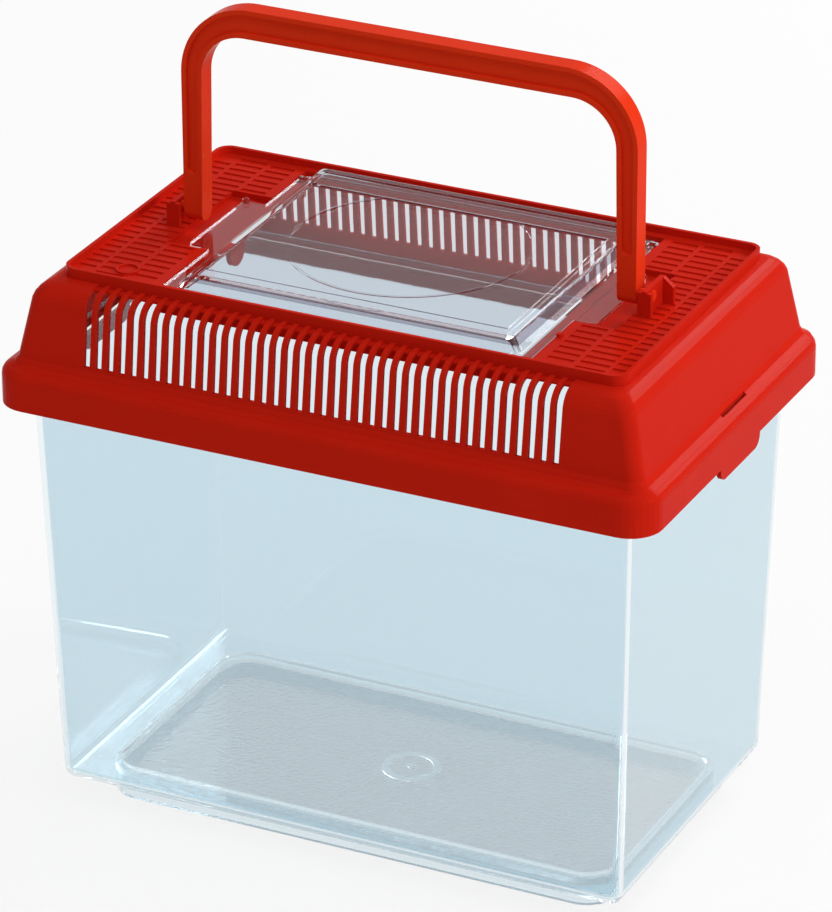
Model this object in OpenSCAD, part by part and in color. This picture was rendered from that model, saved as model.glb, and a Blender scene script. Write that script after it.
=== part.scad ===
// Plastic pet keeper: a clear moulded tank with a slotted red lid, a clear
// feeding hatch hinged in the lid and a carrying handle that folds over it.
// Millimetres. X runs along the keeper, Y towards its back, Z up, and the
// origin is on the table under the middle of the tank.

/* [Tank] */
// length of the tank outside, at its bottom
tank_bottom_w = 203.8; // [150:0.1:300]
// depth of the tank outside, at its bottom
tank_bottom_d = 119.6; // [80:0.1:200]
// length of the tank outside, at its top
tank_top_w = 212.2; // [150:0.1:320]
// depth of the tank outside, at its top
tank_top_d = 125.6; // [80:0.1:220]
// height of the tank over the table
tank_h = 160.2; // [80:0.1:250]
// thickness of the tank's walls
tank_wall = 2; // [1:0.1:4]
// radius of the upright corners of the tank
tank_corner_r = 2; // [1:0.5:12]
// radius of the outer edge between the walls and the bottom
tank_edge_r = 4.5; // [2:0.5:12]
// height of the underside of the tank's ledge over the table
ledge_z = 9.1; // [4:0.1:20]
// thickness of the ledge round the floor pan
ledge_t = 2.1; // [1:0.1:4]
// length of the foot ring under the tank
foot_w = 184.6; // [120:0.1:260]
// depth of the foot ring under the tank
foot_d = 94.8; // [60:0.1:160]
// radius of the corners of the foot ring
foot_r = 12; // [2:0.5:30]
// height of the floor's upper face over the table
floor_z = 8; // [3:0.1:16]
// thickness of the floor
floor_t = 2; // [1:0.1:4]
// diameter of the moulding mark in the middle of the floor
gate_d = 20; // [6:0.5:40]
// length of the hidden flange round the tank's top
flange_w = 226.4; // [160:0.1:330]
// depth of the hidden flange round the tank's top
flange_d = 138.8; // [100:0.1:230]

/* [Lid] */
// length of the lid's brim
brim_w = 232; // [160:0.1:340]
// depth of the lid's brim
brim_d = 144.2; // [100:0.1:240]
// height of the brim's lower edge over the table
brim_z = 149.4; // [80:0.1:240]
// height of the ledge on top of the brim
brim_top_z = 162.7; // [90:0.1:260]
// radius of the brim's upright corners
brim_r = 11; // [3:0.5:30]
// radius along the top edge of the brim
brim_edge_r = 3.4; // [0.5:0.1:5]
// thickness of the lid's walls
lid_wall = 1.6; // [1:0.1:4]
// length of the raised part of the lid at its foot
dome_w = 221.7; // [140:0.1:320]
// depth of the raised part of the lid at its foot
dome_d = 133.1; // [80:0.1:220]
// length of the raised part just under its shoulder
dome_top_w = 212.4; // [140:0.1:320]
// depth of the raised part just under its shoulder
dome_top_d = 128.9; // [80:0.1:220]
// height of the top of the shoulder over the table
dome_z = 190.8; // [100:0.1:300]
// radius of the shoulder between the walls and the top
shoulder_r = 7; // [1:0.1:10]
// radius of the raised part's upright corners
dome_r = 4.5; // [2:0.5:20]
// height of the top plate, which carries the grid
lid_top_z = 192; // [100:0.1:300]
// height of the stacking rim round the top plate
rim_z = 194.4; // [100:0.1:300]
// half the length of the stacking rim
rim_x = 98.85; // [60:0.05:140]
// number of air slots along each long side
slot_count = 40; // [10:1:60]
// distance from slot to slot, also of the bars on the top
slot_pitch = 4.233; // [2:0.001:8]
// width of an air slot at its lower end
slot_w = 2.05; // [0.5:0.05:3.5]
// width of an air slot at its upper end
slot_top_w = 2.6; // [0.5:0.05:3.5]
// height of the lower ends of the slots
slot_z = 166.4; // [100:0.1:280]
// width of the sunk strips between the bars of the grid
groove_w = 2.4; // [1:0.1:4]
// half the length of the hatch opening
open_x = 61; // [30:0.1:90]
// front edge of the hatch opening
open_front = -52.1; // [-80:0.1:0]
// back edge of the hatch opening
open_back = 54.8; // [0:0.1:80]
// width of each latch tab, along Y
tab_w = 31.8; // [10:0.1:60]
// height of the lower end of the latch tabs
tab_z = 144.6; // [60:0.1:230]

/* [Hatch] */
// half the length of the hatch over its flange
hatch_x = 64.8; // [30:0.1:90]
// front edge of the hatch
hatch_front = -51.8; // [-80:0.1:0]
// back edge of the hatch
hatch_back = 51.5; // [0:0.1:80]
// height of the hatch's top over the table
hatch_z = 196.1; // [100:0.1:300]
// thickness of the hatch's walls
hatch_t = 1.5; // [0.8:0.1:3]
// radius of the ring moulded on the hatch
ring_r = 40; // [10:0.5:60]
// radius of the hatch's two hinge pins
hatch_pin_r = 1.2; // [0.8:0.05:3]

/* [Handle] */
// half the length of the handle outside
grip_x = 80.6; // [40:0.1:120]
// half the length of the hand gap
gap_x = 73.2; // [30:0.1:110]
// height of the handle's top over the table
grip_z = 271.4; // [200:0.1:360]
// height of the handle's top bar
bar_h = 9.8; // [4:0.1:20]
// thickness of the handle from front to back
grip_t = 7; // [3:0.1:14]
// outer radius of the handle's two bends
bend_r = 25; // [8:0.5:40]
// inner radius of the handle's two bends
inner_bend_r = 15.5; // [4:0.5:30]
// width of the rim round the handle's channel
rim_w = 1.6; // [0.8:0.1:4]
// depth of the channel in each face of the handle
channel_t = 1.5; // [0.5:0.1:3]
// radius of the handle's two pins
pin_r = 1.8; // [1:0.05:4]

/* [Hidden] */
// radial play of a pin in its bore
play = 0.05;
// gap left between pieces that move apart
gap = 0.3;
// overlap that makes joined forms one solid
weld = 0.5;
// a cut runs this far past the face it opens
past = 2;
// thickness of the slices that a tapered form is stretched over
slice = 0.02;
$fn = 32;

ledge_top = ledge_z + ledge_t;
foot_t = 2;
lip_h = 3;
lip_t = 1.2;
flange_t = 2;
flange_r = 8.5;
gate_h = 0.5;
tank_inner_r = 0.8;

dome_y = 0.5;
dome_top_y = 1.05;
shoulder_z = dome_z - shoulder_r;
top_under_z = lid_top_z - lid_wall;
rim_t = 1.3;
rim_y = [-53.5, 59.1];
rim_r = 5;
slot_shift = -1;

flute_z = 189.9;

groove_z = 191.2;
grid_in = 68.8;
bar_lines = [77.9, 79.5, 89.6, 91];
boss_pos = [-80.6, -41.8];
boss_d = 8;

rebate_x = 65.2;
rebate_z = top_under_z;
rebate_back = 46.3;
plate_x = 67.4;
plate_z = 188;
front_skirt_z = 185;
back_skirt_z = 186.2;
skirt_t = 1.2;
tongue_t = 1.8;
tongue_w = 10;
tongue_z = 179.4;
tongue_x = 62.6;
ear_x0 = 64.9;
ear_x1 = 80;
ear_front = -16.6;
ear_back = 30;
ear_floor_z = 189.8;
catch_y = -29;

tab_y = 1.3;
tab_r = 4;
tab_inset = 0.2;
tab_slot = [111.8, 4, 19.1, 1.2];

hatch_axis_y = 49.5;
hatch_axis_z = 190;
hatch_wall_x = 67.7;
hatch_base_z = rebate_z + gap;
flange_h = 1.2;
crown_x = 57.3;
crown_front = -44;
crown_foot = -46.8;
crown_rim_z = 0.8;
crown_slope = 4.4;
crown_r = 2;
crown_edge_r = 0.6;
sink_x = [-54.6, 52.6];
sink_y = [-38.5, 38.5];
ring_pos = [-3.5, 7];
lug_r = 2.4;
lug_w = 3;
lobe_x = 72.8;
lobe_y = [-16, 24.5];
lobe_r = 2.5;
bead_r = 1.4;

pivot_y = 0.6;
pivot_z = 197.5;
leg_in_x = 74;
channel_z = 213;
arm_wall_x = [83.2, 84.9];
arm_y = [-4.4, 10.4];
arm_t = 1.7;
arm_z = 200.6;
pin_end_x = 85.4;

tank_color = [0.80, 0.88, 0.91, 0.35];
lid_color = [0.78, 0.08, 0.06];
grip_color = [0.82, 0.13, 0.07];

// half size of the tank at a height, on a line from its bottom to its top
function tank_half(z) =
    let (f = (z - ledge_z) / (tank_h - ledge_z))
    [tank_bottom_w + (tank_top_w - tank_bottom_w) * f,
     tank_bottom_d + (tank_top_d - tank_bottom_d) * f] / 2;

// half size of the lid's raised part at a height
function dome_half(z) =
    let (f = (z - brim_top_z) / (shoulder_z - brim_top_z))
    [dome_w + (dome_top_w - dome_w) * f,
     dome_d + (dome_top_d - dome_d) * f] / 2;

// where the middle of the raised part lies in Y at a height
function dome_mid(z) =
    dome_y + (dome_top_y - dome_y) * (z - brim_top_z) / (shoulder_z - brim_top_z);

// rectangle with round corners about the origin, in the plane
module round_rect(half, r) {
    square([2 * half[0] - 2 * r, 2 * half[1]], center = true);
    square([2 * half[0], 2 * half[1] - 2 * r], center = true);
    for (sx = [-1, 1]) for (sy = [-1, 1])
        translate([sx * (half[0] - r), sy * (half[1] - r)]) circle(r);
}

// the four corners of a thin slice, for a hull to stretch over
module corners(half, r, z, y = 0) {
    four(half, r, y) translate([0, 0, z]) cylinder(r = r, h = slice);
}

// the same upright column at the four corners of a rectangle
module four(half, r, y = 0) {
    for (sx = [-1, 1]) for (sy = [-1, 1])
        translate([sx * (half[0] - r), y + sy * (half[1] - r), 0]) children();
}

// corner column from z0 up to z1, its top edge rounded by e
module column(r, z0, z1, e) rotate_extrude() polygon(concat(
    z1 - z0 > e ? [[0, z0], [r, z0]] : [[0, z0]],
    [for (a = [0:22.5:90]) [r - e + e * cos(a), z1 - e + e * sin(a)]],
    e < r ? [[0, z1]] : []));

// block between two opposite corners
module block(a, b) translate(a) cube(b - a);

// the same thing at both ends of the keeper
module both_ends() {
    children();
    mirror([1, 0, 0]) children();
}

// tapered tank form with a rounded bottom edge, its walls moved in by t
module tank_form(t, z0, z1, edge_r, r) hull() {
    four(tank_half(z0 + edge_r) - [t, t], edge_r)
        mirror([0, 0, 1]) column(edge_r, -z0 - edge_r, -z0, edge_r);
    corners(tank_half(z1) - [t, t], r, z1);
}

// flange and down-turned lip that the lid's brim hides
module tank_flange() {
    half = [flange_w, flange_d] / 2;
    translate([0, 0, tank_h - flange_t]) linear_extrude(flange_t)
        round_rect(half, flange_r);
    translate([0, 0, tank_h - flange_t - lip_h + weld]) linear_extrude(lip_h)
        difference() {
            round_rect(half, flange_r);
            round_rect(half - [lip_t, lip_t], flange_r - lip_t);
        }
}

// ring and small nib that the moulding leaves in the middle of the floor
module gate_mark() {
    translate([0, 0, floor_z - weld]) {
        difference() {
            cylinder(d = gate_d, h = gate_h + weld, $fn = 64);
            translate([0, 0, -past])
                cylinder(d = gate_d - 5, h = gate_h + weld + 2 * past, $fn = 64);
        }
        cylinder(r = 1.2, h = 2 * gate_h + weld);
    }
}

module tank() color(tank_color) {
    foot = [foot_w, foot_d] / 2;
    difference() {
        union() {
            tank_form(0, ledge_z, tank_h - 0.5, tank_edge_r, tank_corner_r);
            linear_extrude(ledge_z + weld) round_rect(foot, foot_r);
            tank_flange();
        }
        tank_form(tank_wall, ledge_top, tank_h + past, tank_edge_r - tank_wall, tank_inner_r);
        translate([0, 0, floor_z]) linear_extrude(ledge_top + past - floor_z)
            round_rect(foot - [foot_t, foot_t + 0.6], foot_r - foot_t);
        translate([0, 0, -past]) linear_extrude(floor_z - floor_t + past)
            round_rect(foot - [foot_t, foot_t], foot_r - foot_t);
    }
    gate_mark();
}

// brim of the lid, with a rounded top edge
module brim_form() hull()
    four([brim_w, brim_d] / 2, brim_r) column(brim_r, brim_z, brim_top_z, brim_edge_r);

// raised part of the lid with its round shoulder, moved in by t
module dome_form(t, z0) hull() {
    e = shoulder_r - t;
    corners(dome_half(z0) - [t, t], dome_r - t, z0, dome_mid(z0));
    for (a = [0:15:90]) {
        out = t + e - e * cos(a);
        corners(dome_half(shoulder_z) - [out, out], dome_r - t, shoulder_z + e * sin(a) - slice,
            dome_top_y);
    }
}

// top plate inside its stacking rim, moved in by t
module rim_outline(t) translate([0, (rim_y[0] + rim_y[1]) / 2])
    round_rect([rim_x - t, (rim_y[1] - rim_y[0]) / 2 - t], rim_r - t);

// one sloping side of the hollow curve at the foot of the raised part,
// which ends inside the brim below and inside the raised part above
module foot_curve(z0, out0, z1, out1) hull() {
    corners(dome_half(z0) + [out0, out0], dome_r + out0, z0, dome_mid(z0));
    corners(dome_half(z1) + [out1, out1], dome_r + out1, z1, dome_mid(z1));
}

// closed top, walls and brim of the lid as one hollow shell, with the
// stacking rim that keeps the foot ring of another keeper in place
module lid_shell() difference() {
    union() {
        brim_form();
        dome_form(0, brim_top_z - weld);
        foot_curve(brim_top_z - 0.45, 3.1, brim_top_z + 1.9, -1);
        foot_curve(brim_top_z - 0.45, 1.5, brim_top_z + 4.9, -1);
        translate([0, 0, dome_z - weld]) linear_extrude(rim_z - dome_z + weld) rim_outline(0);
    }
    translate([0, 0, lid_top_z]) linear_extrude(rim_z) rim_outline(rim_t);
    translate([0, 0, dome_z - lid_wall - past]) linear_extrude(top_under_z - dome_z + lid_wall + past)
        rim_outline(lid_wall);
    dome_form(lid_wall, brim_z - past);
    translate([0, 0, brim_z - past])
        linear_extrude(brim_top_z - brim_z - lid_wall - 0.2 + past)
            round_rect([brim_w, brim_d] / 2 - [lid_wall, lid_wall], brim_r - lid_wall);
}

// walls and plates under the top, round the hatch opening
module bay_walls() {
    block([-plate_x, open_front - skirt_t, plate_z], [plate_x, rebate_back + 1, top_under_z + weld]);
    block([-64, open_front - skirt_t, front_skirt_z], [64, open_front + 1, plate_z + weld]);
    block([-hatch_wall_x, rebate_back - 1.6, back_skirt_z],
        [hatch_wall_x, open_back + 1.4, top_under_z + weld]);
    both_ends() {
        block([ear_x0 - 1, ear_front - 1.5, ear_floor_z - 2],
            [ear_x1 + 1.5, ear_back + 1.5, top_under_z + weld]);
        tongue();
    }
}

// round-ended tongue that hangs at each end of the opening
module tongue() translate([tongue_x, 0, 0]) rotate([90, 0, 90]) linear_extrude(tongue_t) {
    translate([-tongue_w / 2, tongue_z + tongue_w / 2])
        square([tongue_w, plate_z + weld - tongue_z - tongue_w / 2]);
    translate([0, tongue_z + tongue_w / 2]) circle(d = tongue_w);
}

// opening, hatch rebate, hinge pockets and finger recesses in the top
module bay_cuts() {
    low = front_skirt_z - past;
    high = rim_z + past;
    block([-open_x, open_front, low], [open_x, rebate_back, high]);
    block([-rebate_x, open_front, rebate_z], [rebate_x, rebate_back + 0.1, high]);
    block([-65.5, rebate_back, low], [65.5, open_back, high]);
    both_ends() {
        block([rebate_x - weld, ear_front, ear_floor_z], [ear_x1, ear_back, high]);
        translate([65, hatch_axis_y, hatch_axis_z]) rotate([0, 90, 0])
            cylinder(r = hatch_pin_r + play, h = hatch_wall_x - 64.8);
    }
}

// cross grooves that leave the bars of the grid, at the right end
module grid_cuts() translate([0, 0, groove_z]) linear_extrude(past)
    for (i = [-12:12]) {
        y = (i + 0.5) * slot_pitch;
        groove([grid_in, bar_lines[0]], y);
        groove([bar_lines[1], bar_lines[2]], y + slot_pitch / 4);
        if (i > -12 && i < 12) groove([bar_lines[3], rim_x - rim_t - 0.3], y);
    }

// one groove between two bars
module groove(x, y) translate([x[0], y - groove_w / 2]) square([x[1] - x[0], groove_w]);

// air slots in the front: each widens upwards, goes through the wall and the
// shoulder, and runs out in a flute at the foot of the stacking rim
module slots(y, rim) for (i = [1:slot_count])
    translate([(i - (slot_count + 1) / 2) * slot_pitch + slot_shift, min(y, rim), 0]) {
        rotate([90, 0, 0]) linear_extrude(20) polygon([
            [-slot_w / 2, slot_z], [slot_w / 2, slot_z],
            [slot_top_w / 2, dome_z + past], [-slot_top_w / 2, dome_z + past]]);
        if (rim > y) translate([-slot_top_w / 2, -weld, flute_z])
            cube([slot_top_w, rim - y + weld, past]);
    }

// latch tab under the brim at the right end, with its snap bead
module latch_tab() {
    x = brim_w / 2 - lid_wall - tab_inset;
    translate([x, tab_y, 0]) rotate([90, 0, 90]) linear_extrude(lid_wall) {
        translate([-tab_w / 2, tab_z + tab_r]) square([tab_w, brim_z + weld - tab_z - tab_r]);
        translate([-tab_w / 2 + tab_r, tab_z]) square([tab_w - 2 * tab_r, 2 * tab_r]);
        for (s = [-1, 1]) translate([s * (tab_w / 2 - tab_r), tab_z + tab_r]) circle(tab_r);
    }
    translate([x + 0.6, tab_y - tab_w / 4, tab_z + 3.4]) rotate([-90, 0, 0])
        cylinder(r = 0.9, h = tab_w / 2);
}

// bracket that carries a handle pin, open outwards, at the right end
module bracket() difference() {
    union() {
        block([arm_wall_x[0], arm_y[0], groove_z - weld], [arm_wall_x[1], arm_y[1], arm_z]);
        block([arm_wall_x[0] - 1.5, arm_y[0], groove_z - weld],
            [arm_wall_x[1] + 1.5, arm_y[0] + arm_t, arm_z - 0.6]);
        translate([0, arm_y[1], 0]) rotate([90, 0, 0]) linear_extrude(arm_t) polygon([
            [arm_wall_x[0], groove_z - weld], [arm_wall_x[1] + 3.6, groove_z - weld],
            [arm_wall_x[1] + 3.6, arm_z - 3], [arm_wall_x[1], arm_z], [arm_wall_x[0], arm_z]]);
    }
    translate([arm_wall_x[0] - 1, pivot_y, pivot_z]) rotate([0, 90, 0])
        cylinder(r = pin_r + play, h = 4);
}

// small ring on the left panel
module boss() translate([boss_pos[0], boss_pos[1], 0]) difference() {
    translate([0, 0, groove_z - weld]) cylinder(d = boss_d, h = lid_top_z + 0.6 - groove_z + weld);
    translate([0, 0, lid_top_z]) cylinder(d = boss_d - 1.6, h = past);
}

module lid() color(lid_color) {
    flat = dome_top_d / 2 - shoulder_r;
    difference() {
        union() {
            lid_shell();
            bay_walls();
            both_ends() latch_tab();
        }
        bay_cuts();
        both_ends() {
            grid_cuts();
            translate([tab_slot[0] - tab_slot[3] / 2, tab_slot[1] - tab_slot[2] / 2, brim_z + 9])
                cube([tab_slot[3], tab_slot[2], 10]);
        }
        slots(dome_top_y - flat, rim_y[0]);
        mirror([0, 1, 0]) slots(-dome_top_y - flat, -rim_y[1]);
    }
    both_ends() bracket();
    boss();
    translate([rebate_x + 1, catch_y, top_under_z - weld]) cylinder(r = 1.1, h = 3.2);
}

// sloping crown of the hatch, moved in by t
module crown(t, z0, z1) hull() {
    back = hatch_back - t;
    low_front = crown_foot + t;
    top_front = crown_front + t;
    corners([crown_x + crown_slope - t, (back - low_front) / 2], crown_r, z0,
        (back + low_front) / 2);
    four([crown_x - t, (back - top_front) / 2], crown_r, (back + top_front) / 2)
        column(crown_r, z1 - 1, z1, crown_edge_r);
}

// ear that lies in the finger recess, with the round bead at its back
module lobe() {
    translate([0, 0, hatch_base_z]) linear_extrude(flange_h) {
        translate([hatch_x - 2, lobe_y[0]])
            square([lobe_x - lobe_r - hatch_x + 2, lobe_y[1] - lobe_y[0]]);
        translate([hatch_x, lobe_y[0] + lobe_r])
            square([lobe_x - hatch_x, lobe_y[1] - lobe_y[0] - 2 * lobe_r]);
        for (y = [lobe_y[0] + lobe_r, lobe_y[1] - lobe_r])
            translate([lobe_x - lobe_r, y]) circle(lobe_r);
    }
    translate([lobe_x - bead_r, lobe_y[1] - bead_r, hatch_base_z + bead_r + 0.2]) sphere(bead_r);
}

// hinge lug and pin at the hatch's back corner
module hatch_hinge() translate([hatch_x - lug_w, hatch_axis_y, hatch_axis_z]) rotate([0, 90, 0]) {
    cylinder(r = lug_r, h = lug_w);
    cylinder(r = hatch_pin_r, h = lug_w + 2.6);
}

module hatch() color(tank_color) {
    sink_w = sink_x[1] - sink_x[0];
    sink_d = sink_y[1] - sink_y[0];
    difference() {
        union() {
            translate([0, (hatch_front + hatch_back) / 2, hatch_base_z]) linear_extrude(flange_h)
                round_rect([hatch_x, (hatch_back - hatch_front) / 2], lobe_r);
            crown(0, hatch_base_z + weld, hatch_z);
        }
        crown(hatch_t, hatch_base_z - 1, hatch_z - crown_rim_z - hatch_t);
        translate([sink_x[0], sink_y[0], hatch_z - crown_rim_z]) cube([sink_w, sink_d, past]);
        translate([sink_x[0], sink_y[1] + 6, hatch_z - 0.4]) cube([sink_w, 4, past]);
    }
    intersection() {
        translate([sink_x[0] - 1, sink_y[0] - 1, hatch_z - crown_rim_z - 0.6])
            cube([sink_w + 2, sink_d + 2, 1]);
        translate([ring_pos[0], ring_pos[1], hatch_z - crown_rim_z - 0.6]) difference() {
            cylinder(r = ring_r + 0.4, h = 0.85, $fn = 96);
            translate([0, 0, -1]) cylinder(r = ring_r - 0.4, h = 3, $fn = 96);
        }
    }
    both_ends() {
        lobe();
        hatch_hinge();
    }
}

// outline of the handle in X and Z, its edges moved in by t
module grip_outline(t) difference() {
    union() {
        translate([t - grip_x, pivot_z]) square([2 * (grip_x - t), grip_z - bend_r - pivot_z]);
        translate([bend_r - grip_x, pivot_z])
            square([2 * (grip_x - bend_r), grip_z - t - pivot_z]);
        for (s = [-1, 1]) translate([s * (grip_x - bend_r), grip_z - bend_r])
            circle(bend_r - t, $fn = 96);
    }
    polygon([
        [-leg_in_x - t, pivot_z - 1], [leg_in_x + t, pivot_z - 1],
        [gap_x + t, grip_z - bar_h - inner_bend_r], [-gap_x - t, grip_z - bar_h - inner_bend_r]]);
    translate([inner_bend_r - gap_x, grip_z - bar_h - inner_bend_r - 1])
        square([2 * (gap_x - inner_bend_r), inner_bend_r + t + 1]);
    for (s = [-1, 1]) translate([s * (gap_x - inner_bend_r), grip_z - bar_h - inner_bend_r])
        circle(inner_bend_r + t, $fn = 96);
}

// long channel in the handle's faces, with round ends on the legs
module channel() {
    intersection() {
        grip_outline(rim_w);
        translate([-grip_x, channel_z]) square([2 * grip_x, grip_z]);
    }
    for (s = [-1, 1]) translate([s * (grip_x + leg_in_x) / 2, channel_z]) circle(1.8);
}

module handle() color(grip_color) translate([0, pivot_y, 0]) {
    difference() {
        translate([0, grip_t / 2, 0]) rotate([90, 0, 0]) linear_extrude(grip_t) grip_outline(0);
        translate([0, -grip_t / 2 + channel_t, 0]) rotate([90, 0, 0])
            linear_extrude(channel_t + past) channel();
        translate([0, grip_t / 2 + past, 0]) rotate([90, 0, 0])
            linear_extrude(channel_t + past) channel();
    }
    both_ends() {
        translate([leg_in_x, 0, pivot_z]) rotate([0, 90, 0])
            cylinder(r = grip_t / 2, h = grip_x - leg_in_x, $fn = 64);
        translate([leg_in_x + 1, 0, pivot_z]) rotate([0, 90, 0])
            cylinder(r = pin_r, h = pin_end_x - leg_in_x - 1);
    }
}

tank();
lid();
hatch();
handle();
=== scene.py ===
import math
import bpy
from mathutils import Matrix, Vector


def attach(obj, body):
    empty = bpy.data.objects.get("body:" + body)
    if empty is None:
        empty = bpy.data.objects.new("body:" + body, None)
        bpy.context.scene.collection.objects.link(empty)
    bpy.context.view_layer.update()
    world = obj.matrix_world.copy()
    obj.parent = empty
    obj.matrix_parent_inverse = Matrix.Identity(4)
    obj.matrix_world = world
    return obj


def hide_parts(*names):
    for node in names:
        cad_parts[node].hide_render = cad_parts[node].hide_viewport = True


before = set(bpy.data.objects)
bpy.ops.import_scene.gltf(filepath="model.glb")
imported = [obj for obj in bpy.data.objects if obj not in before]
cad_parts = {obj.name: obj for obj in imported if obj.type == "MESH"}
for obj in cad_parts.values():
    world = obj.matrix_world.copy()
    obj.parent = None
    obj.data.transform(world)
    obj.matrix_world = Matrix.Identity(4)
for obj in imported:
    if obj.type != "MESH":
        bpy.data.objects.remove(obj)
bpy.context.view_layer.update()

# Camera. A long lens from the keeper's front right, above its lid, as in the
# photograph: 26 degrees round from the front and 26 degrees above the table.
round_angle = math.radians(26.0267)
height_angle = math.radians(25.9028)
roll = math.radians(-0.2845)
aim = Vector((-0.0012115, 0.0, 0.123555))
distance = 1.87604
farthest_seen = 20
sensor_mm = 36
photo_height_px = 912
focal_length_px = 5731.8
side_shift_px = 8.28
towards = Vector((math.sin(round_angle) * math.cos(height_angle),
                  -math.cos(round_angle) * math.cos(height_angle),
                  math.sin(height_angle)))
across = (-towards).cross(Vector((0, 0, 1))).normalized()
upwards = across.cross(-towards)
right_way = across * math.cos(roll) + upwards * math.sin(roll)
up_way = upwards * math.cos(roll) - across * math.sin(roll)
camera_data = bpy.data.cameras.new("photo_camera")
camera_data.sensor_width = sensor_mm
camera_data.lens = focal_length_px * sensor_mm / photo_height_px
camera_data.shift_x = side_shift_px / photo_height_px
camera_data.clip_end = farthest_seen
camera = bpy.data.objects.new("photo_camera", camera_data)
bpy.context.scene.collection.objects.link(camera)
turned = Matrix((right_way, up_way, towards)).transposed().to_4x4()
camera.matrix_world = Matrix.Translation(aim + towards * distance) @ turned
bpy.context.scene.camera = camera


# Moulded surface, for every plastic of the keeper. Injection moulding leaves
# a faint unevenness of gloss and a soft ripple that a plain colour lacks.
def maths(nodes, links, operation, *terms):
    node = nodes.new("ShaderNodeMath")
    node.operation = operation
    for slot, term in enumerate(terms):
        if isinstance(term, bpy.types.NodeSocket):
            links.new(term, node.inputs[slot])
        else:
            node.inputs[slot].default_value = term
    return node.outputs[0]


def moulded_surface():
    usual = {"Gloss": 0.3, "Gloss change": 0.06, "Ripple": 0.1, "Size": 60.0}
    cloud_detail = 3
    cloud_middle = 0.5
    group = bpy.data.node_groups.new("moulded_surface", "ShaderNodeTree")
    face = group.interface
    for name, value in usual.items():
        socket = face.new_socket(name=name, in_out="INPUT", socket_type="NodeSocketFloat")
        socket.default_value = value
    for name in ("Roughness", "Height", "Mottle"):
        face.new_socket(name=name, in_out="OUTPUT", socket_type="NodeSocketFloat")
    nodes, links = group.nodes, group.links
    given, made = nodes.new("NodeGroupInput"), nodes.new("NodeGroupOutput")
    place = nodes.new("ShaderNodeTexCoord")
    cloud = nodes.new("ShaderNodeTexNoise")
    cloud.inputs["Detail"].default_value = cloud_detail
    links.new(place.outputs["Object"], cloud.inputs["Vector"])
    links.new(given.outputs["Size"], cloud.inputs["Scale"])
    spread = maths(nodes, links, "SUBTRACT", cloud.outputs["Fac"], cloud_middle)
    change = maths(nodes, links, "MULTIPLY_ADD", spread,
                   given.outputs["Gloss change"], given.outputs["Gloss"])
    links.new(change, made.inputs["Roughness"])
    wave = maths(nodes, links, "MULTIPLY", cloud.outputs["Fac"], given.outputs["Ripple"])
    links.new(wave, made.inputs["Height"])
    links.new(cloud.outputs["Fac"], made.inputs["Mottle"])
    return group


surface_group = moulded_surface()


def moulded_material(name, gloss, ripple, ripple_depth, ripple_strength):
    material = bpy.data.materials.new(name)
    material.use_nodes = True
    nodes, links = material.node_tree.nodes, material.node_tree.links
    shader = nodes["Principled BSDF"]
    surface = nodes.new("ShaderNodeGroup")
    surface.node_tree = surface_group
    surface.inputs["Gloss"].default_value = gloss
    surface.inputs["Ripple"].default_value = ripple
    links.new(surface.outputs["Roughness"], shader.inputs["Roughness"])
    bump = nodes.new("ShaderNodeBump")
    bump.inputs["Distance"].default_value = ripple_depth
    bump.inputs["Strength"].default_value = ripple_strength
    links.new(surface.outputs["Height"], bump.inputs["Height"])
    links.new(bump.outputs["Normal"], shader.inputs["Normal"])
    return material, shader, surface


# Clear tank. Injection-moulded clear polystyrene with a pale blue cast, 2 mm
# walls and a sunk floor; it is one piece with its foot ring.
def clear_plastic(name, tint, bend, gloss, ripple, turns, mirrored):
    material, shader, surface = moulded_material(name, gloss, ripple,
                                                 ripple_depth=0.001, ripple_strength=0.3)
    nodes, links = material.node_tree.nodes, material.node_tree.links
    shader.inputs["Base Color"].default_value = (*tint, 1)
    shader.inputs["IOR"].default_value = bend
    shader.inputs["Transmission Weight"].default_value = 1
    surface.inputs["Gloss change"].default_value = 0.02
    surface.inputs["Size"].default_value = 22
    # Light caught between the two faces of a wall would end black at the last
    # bounce; after a few turns it leaves the wall instead, as a pale edge.
    between_counts = 0.5
    path = nodes.new("ShaderNodeLightPath")
    early = maths(nodes, links, "LESS_THAN", path.outputs["Ray Depth"],
                  turns + between_counts)
    free = maths(nodes, links, "LESS_THAN", path.outputs["Glossy Depth"],
                 mirrored + between_counts)
    links.new(maths(nodes, links, "MULTIPLY", early, free), shader.inputs["Alpha"])
    return material


def dress(node, material):
    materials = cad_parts[node].data.materials
    if len(materials) == 0:
        materials.append(material)
    for slot in range(len(materials)):
        materials[slot] = material


def tint_where(mask, tint, nodes, links, shader):
    colour = nodes.new("ShaderNodeMix")
    colour.data_type = "RGBA"
    colour.inputs["A"].default_value = shader.inputs["Base Color"].default_value
    colour.inputs["B"].default_value = (*tint, 1)
    links.new(mask, colour.inputs["Factor"])
    links.new(colour.outputs["Result"], shader.inputs["Base Color"])


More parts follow.
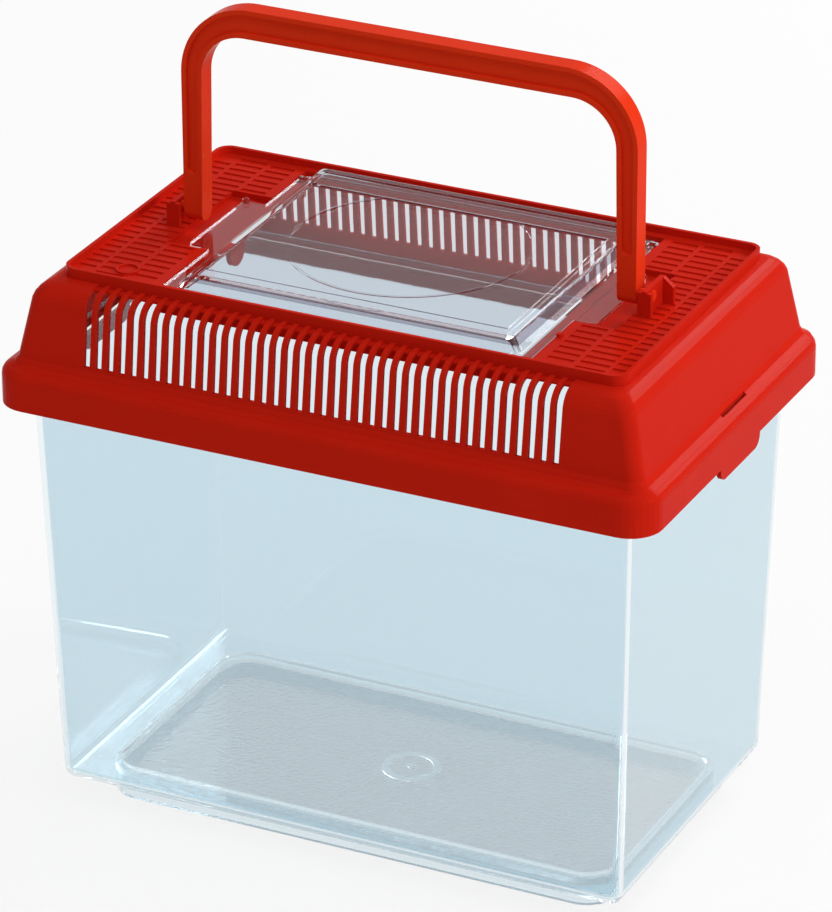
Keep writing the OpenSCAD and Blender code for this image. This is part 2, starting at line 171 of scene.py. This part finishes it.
# The sunk floor plate is spark-eroded in the mould, so it is greyer and
# finely grained; the walls round it are polished.
def frost_floor(material, tint, gloss, under, top, grain, grain_height):
    grain_detail = 2
    nodes, links = material.node_tree.nodes, material.node_tree.links
    shader = nodes["Principled BSDF"]
    place = nodes.new("ShaderNodeTexCoord")
    where = nodes.new("ShaderNodeSeparateXYZ")
    links.new(place.outputs["Object"], where.inputs[0])
    below = maths(nodes, links, "LESS_THAN", where.outputs["Z"], top)
    above = maths(nodes, links, "GREATER_THAN", where.outputs["Z"], under)
    plate = maths(nodes, links, "MULTIPLY", below, above)
    tint_where(plate, tint, nodes, links, shader)
    rough = nodes.new("ShaderNodeMix")
    links.new(plate, rough.inputs["Factor"])
    links.new(shader.inputs["Roughness"].links[0].from_socket, rough.inputs["A"])
    rough.inputs["B"].default_value = gloss
    links.new(rough.outputs["Result"], shader.inputs["Roughness"])
    speckle = nodes.new("ShaderNodeTexNoise")
    speckle.inputs["Scale"].default_value = grain
    speckle.inputs["Detail"].default_value = grain_detail
    links.new(place.outputs["Object"], speckle.inputs["Vector"])
    part = maths(nodes, links, "MULTIPLY", speckle.outputs["Fac"], grain_height)
    raised = maths(nodes, links, "MULTIPLY", part, plate)
    bump = shader.inputs["Normal"].links[0].from_node
    ripple = bump.inputs["Height"].links[0].from_socket
    links.new(maths(nodes, links, "ADD", ripple, raised), bump.inputs["Height"])


tank_clear = clear_plastic("clear_tank", tint=(0.76, 0.86, 0.905), bend=1.42,
                           gloss=0.03, ripple=0.15, turns=8, mirrored=2)
frost_floor(tank_clear, tint=(0.70, 0.72, 0.74), gloss=0.2, under=0.0058, top=0.0082,
            grain=700, grain_height=0.55)
dress("tank", tank_clear)


# Lid. Red polypropylene, satin, with open slots along both long sides and
# sunk grid panels at both ends; it grips the tank with two latch tabs.
def coloured_plastic(name, dark, light, gloss, ripple):
    material, shader, surface = moulded_material(name, gloss, ripple,
                                                 ripple_depth=0.0004, ripple_strength=0.2)
    nodes, links = material.node_tree.nodes, material.node_tree.links
    shade = nodes.new("ShaderNodeMix")
    shade.data_type = "RGBA"
    shade.inputs["A"].default_value = (*dark, 1)
    shade.inputs["B"].default_value = (*light, 1)
    links.new(surface.outputs["Mottle"], shade.inputs["Factor"])
    links.new(shade.outputs["Result"], shader.inputs["Base Color"])
    shader.inputs["IOR"].default_value = 1.49
    shader.inputs["Specular IOR Level"].default_value = 0.012
    shader.inputs["Specular Tint"].default_value = (1, 0.62, 0.36, 1)
    return material


dress("lid", coloured_plastic("lid_red", dark=(0.59, 0.014, 0.0055),
                              light=(0.65, 0.018, 0.0065), gloss=0.22, ripple=0.4))


# The real end panels are sunk less than the node's, so the lid shown is a copy
# whose groove floors sit higher; the node stays for collision.
def shown_lid(groove_floor, raised_floor, panel_x):
    same_height = 0.00002
    shell = bpy.data.objects.new("lid_shell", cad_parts["lid"].data.copy())
    for vertex in shell.data.vertices:
        if (abs(vertex.co.z - groove_floor) < same_height
                and abs(vertex.co.x) > panel_x):
            vertex.co.z = raised_floor
    bpy.context.scene.collection.objects.link(shell)
    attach(shell, "lid")
    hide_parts("lid")


shown_lid(groove_floor=0.1912, raised_floor=0.19158, panel_x=0.068)


# Hatch. Clear polystyrene cover of the feeding opening, hinged along its back;
# its crown is bevelled all round, and a painted shade tints the sloped bevel
# faces lavender-grey, for the darker look of light bent through the thick bevel.
def paint_bevel_shade(material, tint, foot_z, flat):
    nodes, links = material.node_tree.nodes, material.node_tree.links
    place = nodes.new("ShaderNodeTexCoord")
    where = nodes.new("ShaderNodeSeparateXYZ")
    links.new(place.outputs["Object"], where.inputs[0])
    high = maths(nodes, links, "GREATER_THAN", where.outputs["Z"], foot_z)
    facing = nodes.new("ShaderNodeSeparateXYZ")
    links.new(place.outputs["Normal"], facing.inputs[0])
    tilt = maths(nodes, links, "ABSOLUTE", facing.outputs["Z"])
    sloped = maths(nodes, links, "LESS_THAN", tilt, flat)
    bevel_shade_mask = maths(nodes, links, "MULTIPLY", high, sloped)
    # Painted shade: sloped faces above the foot get the dark lavender-grey tint.
    tint_where(bevel_shade_mask, tint, nodes, links, nodes["Principled BSDF"])


hatch_clear = clear_plastic("clear_hatch", tint=(0.72, 0.73, 0.78), bend=1.24,
                            gloss=0.03, ripple=0.25, turns=8, mirrored=3)
paint_bevel_shade(hatch_clear, tint=(0.26, 0.23, 0.28), foot_z=0.1938, flat=0.93)
dress("hatch", hatch_clear)


# Handle. Orange-red polypropylene, channelled in both faces to keep it light;
# its two pins snap into the lid's brackets.
dress("handle", coloured_plastic("handle_red", dark=(0.78, 0.036, 0.008),
                                 light=(0.84, 0.043, 0.010), gloss=0.24, ripple=0.4))


# Floor and studio light. A pale floor that keeps the keeper's shadow, white
# surroundings, lamps to the right, above and behind, and a faint one in front.
def looked_at(nodes, links):
    # One where the camera looks, also by way of the plastic; else zero.
    path = nodes.new("ShaderNodeLightPath")
    straight = maths(nodes, links, "MAXIMUM", path.outputs["Is Camera Ray"],
                     path.outputs["Is Glossy Ray"])
    return maths(nodes, links, "MAXIMUM", straight, path.outputs["Is Transmission Ray"])


def studio_floor(side, drop, grey, white_share):
    mesh = bpy.data.meshes.new("floor")
    corners = [(-side, -side, 0), (side, -side, 0), (side, side, 0), (-side, side, 0)]
    mesh.from_pydata(corners, [], [(0, 1, 2, 3)])
    floor = bpy.data.objects.new("floor", mesh)
    floor.location = (0, 0, -drop)
    bpy.context.scene.collection.objects.link(floor)
    material = bpy.data.materials.new("pale_floor")
    material.use_nodes = True
    nodes, links = material.node_tree.nodes, material.node_tree.links
    shader = nodes["Principled BSDF"]
    shader.inputs["Base Color"].default_value = (grey, grey, grey, 1)
    shader.inputs["Roughness"].default_value = 0.9
    shader.inputs["Specular IOR Level"].default_value = 0
    glow = nodes.new("ShaderNodeEmission")
    glow.inputs["Strength"].default_value = 1
    share = maths(nodes, links, "MULTIPLY", looked_at(nodes, links), white_share)
    blend = nodes.new("ShaderNodeMixShader")
    links.new(share, blend.inputs[0])
    links.new(shader.outputs[0], blend.inputs[1])
    links.new(glow.outputs[0], blend.inputs[2])
    links.new(blend.outputs[0], nodes["Material Output"].inputs["Surface"])
    mesh.materials.append(material)


def white_surroundings(dim_strength):
    world = bpy.data.worlds.new("studio_white")
    bpy.context.scene.world = world
    world.use_nodes = True
    nodes, links = world.node_tree.nodes, world.node_tree.links
    dim = nodes["Background"]
    dim.inputs["Color"].default_value = (1, 1, 1, 1)
    dim.inputs["Strength"].default_value = dim_strength
    white = nodes.new("ShaderNodeBackground")
    white.inputs["Strength"].default_value = 1
    blend = nodes.new("ShaderNodeMixShader")
    links.new(looked_at(nodes, links), blend.inputs[0])
    links.new(dim.outputs[0], blend.inputs[1])
    links.new(white.outputs[0], blend.inputs[2])
    links.new(blend.outputs[0], nodes["World Output"].inputs["Surface"])


def soft_lamp(name, place, width, height, power):
    keeper_middle = Vector((0, 0, 0.12))
    data = bpy.data.lights.new(name, "AREA")
    data.shape = "RECTANGLE"
    data.size = width
    data.size_y = height
    data.energy = power
    lamp = bpy.data.objects.new(name, data)
    lamp.location = place
    lamp.rotation_mode = "QUATERNION"
    lamp.rotation_quaternion = (keeper_middle - Vector(place)).to_track_quat("-Z", "Y")
    bpy.context.scene.collection.objects.link(lamp)


studio_floor(side=4.0, drop=0.0005, grey=0.9, white_share=0.85)
white_surroundings(dim_strength=0.26)
soft_lamp("key_right", place=(1.7, 0.1, 0.8), width=0.9, height=0.9, power=13.2)
soft_lamp("fill_front", place=(-0.6, -1.8, 1.0), width=1.0, height=1.0, power=0.7)
soft_lamp("back_band", place=(0.35, 1.65, 1.17), width=1.2, height=0.48, power=20)
soft_lamp("top", place=(0.3, -0.6, 1.9), width=1.2, height=1.2, power=10)

bpy.context.scene.view_settings.view_transform = "Standard"
